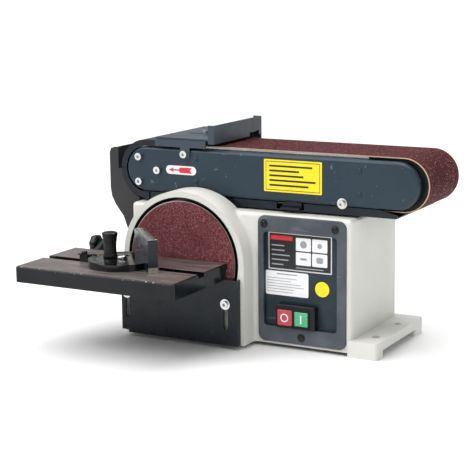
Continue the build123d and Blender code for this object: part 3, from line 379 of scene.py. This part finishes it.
def lathe(bm, profile, centre, axis, steps, ripple=None):
    """Revolves (radius, height) points about axis through centre, in millimetres.

    ripple(row, angle) scales the radius.
    """
    turn = Vector(UP).rotation_difference(Vector(axis)).to_matrix()
    rings = []
    for row, (radius, height) in enumerate(profile):
        ring = []
        for step in range(steps):
            angle = 2 * math.pi * step / steps
            r = radius * (ripple(row, angle) if ripple else 1)
            spoke = Vector((r * math.cos(angle), r * math.sin(angle), height))
            ring.append(bm.verts.new((Vector(centre) + turn @ spoke) / 1000))
        rings.append(ring)
    for low, high in zip(rings, rings[1:]):
        for step in range(steps):
            following = (step + 1) % steps
            bm.faces.new((low[step], low[following], high[following], high[step]))
    bm.faces.new(rings[0])
    bm.faces.new(rings[-1])


def plate(bm, outline, depth, place):
    """A thin plate: outline points are mapped to the row frame by place(u, v, depth)."""
    front = [bm.verts.new(place(u, v, depth)) for u, v in outline]
    back = [bm.verts.new(place(u, v, 0.0)) for u, v in outline]
    bm.faces.new(front)
    bm.faces.new(back)
    for index in range(len(outline)):
        following = (index + 1) % len(outline)
        bm.faces.new((front[index], front[following], back[following], back[index]))


def band(bm, rings):
    """Joins closed rings of points in a loop, the last one back to the first."""
    rows = [[bm.verts.new(point) for point in ring] for ring in rings]
    for a, b in zip(rows, rows[1:] + rows[:1]):
        for index in range(len(a)):
            following = (index + 1) % len(a)
            bm.faces.new((a[index], a[following], b[following], b[index]))


def on_front(y):
    """Places (x, z) in millimetres on a face at depth y, standing out towards the operator."""
    return lambda u, v, depth: Vector((u, y - depth, v)) / 1000


def on_level(z):
    """Places (x, y) in millimetres on a level face at height z."""
    return lambda u, v, depth: Vector((u, v, z + depth)) / 1000


def rectangle(x0, x1, z0, z1):
    """Outline of a rectangle with square corners."""
    return [(x0, z0), (x1, z0), (x1, z1), (x0, z1)]


def rounded(x0, x1, z0, z1, radius, steps=6):
    """Outline of a rectangle with round corners."""
    points = []
    for cx, cz, start in ((x1 - radius, z1 - radius, 0), (x0 + radius, z1 - radius, 90),
                          (x0 + radius, z0 + radius, 180), (x1 - radius, z0 + radius, 270)):
        for step in range(steps + 1):
            angle = math.radians(start + 90 * step / steps)
            points.append((cx + radius * math.cos(angle), cz + radius * math.sin(angle)))
    return points


def circle(x, z, radius, steps=40):
    """Outline of a disc."""
    turns = [2 * math.pi * i / steps for i in range(steps)]
    return [(x + radius * math.cos(turn), z + radius * math.sin(turn)) for turn in turns]


def sticker(name, outlines, y, depth, body, finish):
    """Flat shapes on a face at depth y, all one piece."""
    bm = bmesh.new()
    for outline in outlines:
        plate(bm, outline, depth, on_front(y))
    add(name, bm, body, finish)


def bars(x0, x1, z0, z1, rows, height, seed):
    """Ragged plain bars that fill a label where its small print would be."""
    found = []
    for row in range(rows):
        z = z1 - (row + 0.5) * (z1 - z0) / rows
        length = (x1 - x0) * (0.62 + 0.38 * math.sin(seed + 2.3 * row) ** 2)
        found.append(rectangle(x0, x0 + length, z - height / 2, z + height / 2))
    return found


def ink(name, colour):
    """Smooth printed film for the labels."""
    s = Shade(name)
    fill = s.cloudy(colour, 60, 4, 0.92, 1.05)
    gloss = s.span(s.noise(200, 2), 0.3, 0.7, 0.30, 0.40)
    return s.finish(fill, gloss, height=s.noise(700, 2), strength=0.05, distance=0.0001)


white_ink = ink("label_white", rgb(236, 236, 238))
yellow_ink = ink("label_yellow", rgb(247, 222, 8))
black_ink = ink("label_black", rgb(16, 16, 17))
red_ink = ink("label_red", rgb(214, 36, 44))
grey_ink = ink("label_grey", rgb(150, 154, 160))
silver_ink = metal("label_silver", rgb(204, 204, 206), rough=0.32)

# ------------------------------------------------------------------ labels
SHEET, PRINT = 0.12, 0.05


def on_arm(name, outlines, level, depth, finish):
    """A label on the arm's front cover, level millimetres above the paint."""
    sticker(name, outlines, ARM_FACE - level, depth, "belt_arm", finish)


def on_panel(name, outlines, level, depth, finish):
    """A label in the panel's recess, level millimetres above its floor."""
    sticker(name, outlines, TRAY_FACE - level, depth, "base", finish)


arrow = [(-116.6, 214.6), (-108.6, 217.6), (-109.6, 215.5), (-101.2, 215.5), (-99.4, 218.2), (-84.4, 218.2),
         (-81.4, 218.0), (-84.6, 214.6), (-81.4, 211.2), (-84.4, 211.0), (-99.4, 211.0), (-101.2, 213.7),
         (-109.6, 213.7), (-108.6, 211.6)]
on_arm("arrow_label", [rounded(-120.5, -75.5, 209, 220.2, 5.5)], 0, SHEET, white_ink)
on_arm("arrow_mark", [arrow], SHEET, 0.06, red_ink)
frame_lines = ([rectangle(25, 99.5, z, z + 0.8) for z in (233.6, 198.2)]
               + [rectangle(x, x + 0.7, 199, 233.6) for x in (25, 98.8)])
on_arm("side_label", [rounded(22.5, 102, 196.1, 236.5, 1.2)], 0, SHEET, yellow_ink)
on_arm("side_label_frame", frame_lines + bars(30, 94, 201.5, 231.5, 5, 2.4, 1.1), SHEET, PRINT, black_ink)

# Name plate: silver edge, black field, then its print, then the marks in its four cells
PLATE, FIELD, CELLS = 0.35, 0.41, 0.46
cell_marks = [circle(82, 134.4, 4.6), rounded(77.5, 86.5, 114.8, 117.6, 1), circle(104, 134.4, 3.2),
              rounded(99.5, 108.6, 112.6, 120.0, 2)]
cells = [rounded(x, x + 20.6, z, z + 16.4, 1.2) for x in (71.6, 93.8) for z in (108.2, 126.2)]
on_panel("name_plate_edge", [rounded(33.5, 120.5, 100.2, 147.6, 1.0)], 0, PLATE, silver_ink)
on_panel("name_plate_field", [rounded(35, 119, 101.7, 146.1, 0.6)], PLATE, 0.06, black_ink)
on_panel("name_plate_cells", cells, FIELD, PRINT, white_ink)
on_panel("name_plate_lines", bars(38, 64, 104, 134, 5, 1.5, 0.4) + bars(71.6, 112, 103, 106.4, 1, 1.2, 2.0),
         FIELD, PRINT, grey_ink)
on_panel("name_plate_stripe", [rounded(37, 67, 138, 143.5, 0.8)], FIELD, PRINT, red_ink)
on_panel("name_plate_marks", cell_marks, CELLS, 0.04, grey_ink)

# Rating label and round label below it
on_panel("rating_label", [rounded(29.2, 88.5, 67.5, 98.2, 2.2)], 0, 0.14, white_ink)
on_panel("rating_lines", bars(32, 84, 70, 91, 6, 0.8, 0.7) + bars(45, 74, 93, 96.5, 1, 1.6, 1.3),
         0.14, 0.04, grey_ink)
on_panel("round_label_rim", [circle(107.3, 80.5, 11)], 0, SHEET, black_ink)
on_panel("round_label", [circle(107.3, 80.5, 9.6)], SHEET, PRINT, yellow_ink)

# Off and on marks, raised on the buttons
MARK = 0.35
bm = bmesh.new()
place = on_front(BUTTON_FACE)
band(bm, [[place(x, z, depth) for x, z in circle(60.75, 42, radius, 48)]
          for radius, depth in ((5.4, 0.0), (5.4, MARK), (3.9, MARK), (3.9, 0.0))])
add("stop_mark", bm, "stop_switch", white_ink)
sticker("start_mark", [rounded(82.6, 84.4, 36.6, 47.4, 0.7)], BUTTON_FACE, MARK, "start_switch", white_ink)

# Raised bezel round the two buttons
bm = bmesh.new()
outer, inner = rounded(48.9, 94.6, 30.2, 54.4, 1.5), rounded(49.9, 93.6, 31.2, 53.4, 1.0)
place = on_front(BEZEL_FACE)
band(bm, [[place(x, z, depth) for x, z in outline]
          for outline, depth in ((outer, 0), (outer, 0.9), (inner, 0.9), (inner, 0))])
add("switch_bezel", bm, "base", switch_plastic)

# ------------------------------------------------------------------ knobs
clamp_profile = [(2.9, 105.2), (2.9, 118.1), (8.4, 118.1), (8.8, 118.6), (8.8, 120.4), (8.3, 121.2),
                 (7.9, 126), (7.8, 131), (8.1, 136), (8.8, 141), (9.5, 145), (9.7, 146.6), (9.9, 147.2),
                 (9.9, 148.0), (9.4, 148.9), (7.4, 149.9), (4.4, 150.5), (1.2, 150.7)]


def flutes(row, angle):
    """Shallow upright flutes round the waist of the knob."""
    return 1 - 0.035 * max(0.0, math.cos(24 * angle)) if 5 <= row <= 11 else 1


bm = bmesh.new()
lathe(bm, clamp_profile, (GAUGE_X - 17, SLOT_Y, 0), UP, 144, flutes)
knob = add("mitre_clamp_knob", bm, "miter_lock", knob_plastic, 50)
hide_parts("miter_knob")

lock_profile = [(6, 1.7), (6, 0), (9.5, 0), (11.2, -0.8), (12, -2.2), (12, -7.6), (11.0, -9.2), (8.0, -10),
                (5.2, -10), (4.6, -9.2), (0.8, -9.2)]


def lobes(row, angle):
    """Seven finger lobes on the rim."""
    return 1 - 0.09 * (0.5 - 0.5 * math.cos(7 * angle)) if 3 <= row <= 6 else 1


bm = bmesh.new()
lathe(bm, lock_profile, TILT_LOCK, RIGHT, 112, lobes)
lathe(bm, [(3, 0.0), (3, 13.5), (2.6, 14)], TILT_LOCK, RIGHT, 32)
lock = add("tilt_lock_knob", bm, "table_lock", knob_plastic, 40)
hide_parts("table_lock_knob")

# ------------------------------------------------------------------ mitre scale


def on_head(radius, degrees, z):
    """Point on the gauge head, by radius and direction in millimetres and degrees."""
    angle = math.radians(degrees)
    return Vector((GAUGE_X + radius * math.cos(angle), SLOT_Y + radius * math.sin(angle), z)) / 1000


SCALE = 0.12
bm = bmesh.new()
arc = [(r, a) for r, run in ((32.5, range(100, 261, 4)), (41.2, range(260, 99, -4))) for a in run]
low = [bm.verts.new(on_head(r, a, HEAD_TOP)) for r, a in arc]
high = [bm.verts.new(on_head(r, a, HEAD_TOP + SCALE)) for r, a in arc]
half = len(arc) // 2
for index in range(half - 1):
    mirror = len(arc) - 1 - index
    for ring in (low, high):
        bm.faces.new((ring[index], ring[index + 1], ring[mirror - 1], ring[mirror]))
for index in range(len(arc)):
    following = (index + 1) % len(arc)
    bm.faces.new((low[index], low[following], high[following], high[index]))
add("mitre_scale", bm, "miter_gauge", black_ink)
bm = bmesh.new()
for index, degrees in enumerate(range(104, 257, 5)):
    inside = 34.5 if index % 3 == 0 else 37.2
    side = 0.32 if index % 3 == 0 else 0.22
    corners = [on_head(r, degrees + math.degrees(s / r), 0) for r, s in
               ((inside, -side), (40.6, -side), (40.6, side), (inside, side))]
    plate(bm, [(c.x * 1000, c.y * 1000) for c in corners], 0.05, on_level(HEAD_TOP + SCALE))
add("mitre_scale_marks", bm, "miter_gauge", silver_ink)



def on_quadrant(u, v, depth):
    """Places (y, z) from the tilt axis, in millimetres, on the face of the quadrant."""
    return Vector((QUADRANT_FACE + depth, u + TILT_Y, v + TILT_Z)) / 1000


# Tilt scale on the quadrant
bm = bmesh.new()
for index in range(10):
    angle = math.radians(-19 + 5 * index)
    inside = 35.0 if index % 3 == 0 else 37.0
    points = []
    for radius, side in ((inside, -0.25), (38.6, -0.25), (38.6, 0.25), (inside, 0.25)):
        points.append((radius * math.cos(angle) - side * math.sin(angle),
                       radius * math.sin(angle) + side * math.cos(angle)))
    plate(bm, points, -0.06, on_quadrant)
add("tilt_scale_marks", bm, "table", white_ink)


# ------------------------------------------------------------------ fasteners and trim
def pan_head(bm, centre, axis, radius, height):
    """A domed screw head with a round recess in its middle."""
    steps = [(1, 0), (1, 0.25), (0.93, 0.55), (0.75, 0.8), (0.5, 0.95), (0.3, 1), (0.26, 0.62), (0.04, 0.6)]
    lathe(bm, [(radius * out, height * rise) for out, rise in steps], centre, axis, 40)


bm = bmesh.new()
for x, z in PANEL_SCREWS:
    pan_head(bm, (x, PANEL_FACE, z), FRONT, 3.7, 1.7)
add("panel_screw_heads", bm, "base", gloss_black)

# Flat black rings round the panel screws: painted shade for the recesses they sit in
bm = bmesh.new()
for x, z in PANEL_SCREWS:
    lathe(bm, [(5.6, 0), (5.6, 0.05), (3.9, 0.05), (3.9, 0)], (x, PANEL_FACE, z), FRONT, 40)
add("panel_screw_well_shade", bm, "base", black_ink)

bm = bmesh.new()
dome = [(3.3, 0), (3.25, 0.5), (2.9, 1.1), (2.2, 1.5), (1.2, 1.75), (0.2, 1.8)]
for x, z in ARM_RIVETS:
    lathe(bm, dome, (x, ARM_FACE, z), FRONT, 32)
add("painted_rivets", bm, "belt_arm", arm_paint, 60)

# Dark strip round the inside of the disc surround, closed by a cap at each end; painted shade that darkens
# the gap round the disc
bm = bmesh.new()
angles = [math.radians(a) for a in range(-15, 196, 3)]
section = [(80.45, -36.45), (79.6, -36.45), (79.6, -14.9), (76.4, -14.9), (76.4, -14.55), (80.45, -14.55)]
rows = [[bm.verts.new(Vector((DISC_X + radius * math.cos(a), y, DISC_Z + radius * math.sin(a))) / 1000)
         for a in angles] for radius, y in section]
for a, b in zip(rows, rows[1:] + rows[:1]):
    for index in range(len(angles) - 1):
        bm.faces.new((a[index], a[index + 1], b[index + 1], b[index]))
bm.faces.new([row[0] for row in rows])
bm.faces.new([row[-1] for row in rows])
add("surround_shade_liner", bm, "base", rubber)

# Small screws at the back of the work stop and of the bridge under it
bm = bmesh.new()
pan_head(bm, (-58.9, 133.8, 251.8), BACK, 3.1, 1.6)
add("fence_leg_screw", bm, "work_stop", bright_steel)

bm = bmesh.new()
for x in (-71, -145):
    pan_head(bm, (x, 133.5, 244.5), BACK, 2.6, 1.4)
add("bridge_rear_screws", bm, "belt_arm", bright_steel)

# Machined spot faces round the bolt holes of the rails
bm = bmesh.new()
place = on_level(RAIL_TOP)
for x, y in RAIL_BOLTS:
    band(bm, [[place(u, v, depth) for u, v in circle(x, y, radius, 48)]
              for radius, depth in ((5.6, 0), (5.6, SPOT), (3.55, SPOT), (3.55, 0))])
add("spot_faces", bm, "base", turned_metal)

# Three long ribs along the rear belt cover, ending just below its face
RIB_ROOT, RIB_HEIGHT, RIB_HALF = 168.58, 0.9, 1.8
bm = bmesh.new()
drum, motor = Vector((DRUM_X, DRUM_Z)), Vector((DISC_X, DISC_Z))
along = (motor - drum).normalized()
across = Vector((-along.y, along.x))
heading = math.degrees(math.atan2(along.y, along.x))
for offset in (-9.0, 0.0, 9.0):
    outline = []
    ends = ((motor - along * 6, heading - 90), (drum + along * 14, heading + 90))
    for centre, start in ends:
        for step in range(9):
            angle = math.radians(start + 180 * step / 8)
            point = centre + across * offset
            outline.append((point.x + RIB_HALF * math.cos(angle), point.y + RIB_HALF * math.sin(angle)))
    plate(bm, outline, RIB_HEIGHT, lambda u, v, depth: Vector((u, RIB_ROOT + depth, v)) / 1000)
add("cover_ribs", bm, "base", guard_paint, bevel=0.0004)

# ------------------------------------------------------------------ floor, light and camera
floor_mesh = bpy.data.meshes.new("floor")
bm = bmesh.new()
bmesh.ops.create_grid(bm, x_segments=1, y_segments=1, size=6)
bm.to_mesh(floor_mesh)
bm.free()
floor = bpy.data.objects.new("floor", floor_mesh)
bpy.context.collection.objects.link(floor)
shade = Shade("floor_pale", rough=0.9)
drift = shade.span(shade.noise(3, 2), 0.3, 0.7)
floor_mesh.materials.append(shade.finish(shade.mix(drift, (0.86, 0.86, 0.86), (0.89, 0.89, 0.89))))


def aim(light, direction, place=(0, 0, 0)):
    """Hangs a light at place, shining along direction."""
    holder = bpy.data.objects.new(light.name, light)
    holder.location = place
    holder.rotation_euler = Vector(direction).to_track_quat("-Z", "Y").to_euler()
    bpy.context.collection.objects.link(holder)


def lamp(name, place, target, size, power):
    """A soft rectangular lamp at place, turned to target; metres and watts."""
    light = bpy.data.lights.new(name, "AREA")
    light.shape = "RECTANGLE"
    light.size, light.size_y = size
    light.energy = power
    aim(light, Vector(target) - Vector(place), place)


lamp("key", (-1.1, -1.5, 1.6), (0, 0, 0.15), (1.0, 0.8), 12)
lamp("fill", (1.9, -0.9, 0.9), (0, 0, 0.15), (0.9, 0.9), 5)
lamp("top", (0.2, 0.6, 1.7), (0, 0, 0.2), (1.2, 0.5), 10)
sky = bpy.data.lights.new("sky", "SUN")
sky.energy = 2.7
sky.angle = math.radians(70)
aim(sky, (0.35, 0.3, -1))

# White backdrop for the camera, dimmer for the light it gives
world = bpy.data.worlds.new("studio")
world.use_nodes = True
backdrop = world.node_tree.nodes["Background"]
backdrop.inputs["Color"].default_value = (1, 1, 1, 1)
seen = world.node_tree.nodes.new("ShaderNodeLightPath")
strength = world.node_tree.nodes.new("ShaderNodeMapRange")
world.node_tree.links.new(seen.outputs["Is Camera Ray"], strength.inputs["Value"])
strength.inputs["To Min"].default_value = 0.46
strength.inputs["To Max"].default_value = 1.0
world.node_tree.links.new(strength.outputs["Result"], backdrop.inputs["Strength"])
bpy.context.scene.world = world
bpy.context.scene.view_settings.view_transform = "Standard"

CAMERA_PLACE = (0.8149, -1.5062, 0.4753)
azimuth, elevation, roll = math.radians(28.92), math.radians(11.11), -0.0114
back = Vector((math.sin(azimuth) * math.cos(elevation),
               -math.cos(azimuth) * math.cos(elevation),
               math.sin(elevation)))
right = Vector((math.cos(azimuth), math.sin(azimuth), 0))
up = back.cross(right)
right, up = (right * math.cos(roll) + up * math.sin(roll), up * math.cos(roll) - right * math.sin(roll))
camera_data = bpy.data.cameras.new("camera")
camera_data.lens = 106.05
camera_data.sensor_width = 36
camera_data.clip_end = 50
camera = bpy.data.objects.new("camera", camera_data)
camera.matrix_world = Matrix.Translation(CAMERA_PLACE) @ Matrix((right, up, back)).transposed().to_4x4()
bpy.context.collection.objects.link(camera)
bpy.context.scene.camera = camera
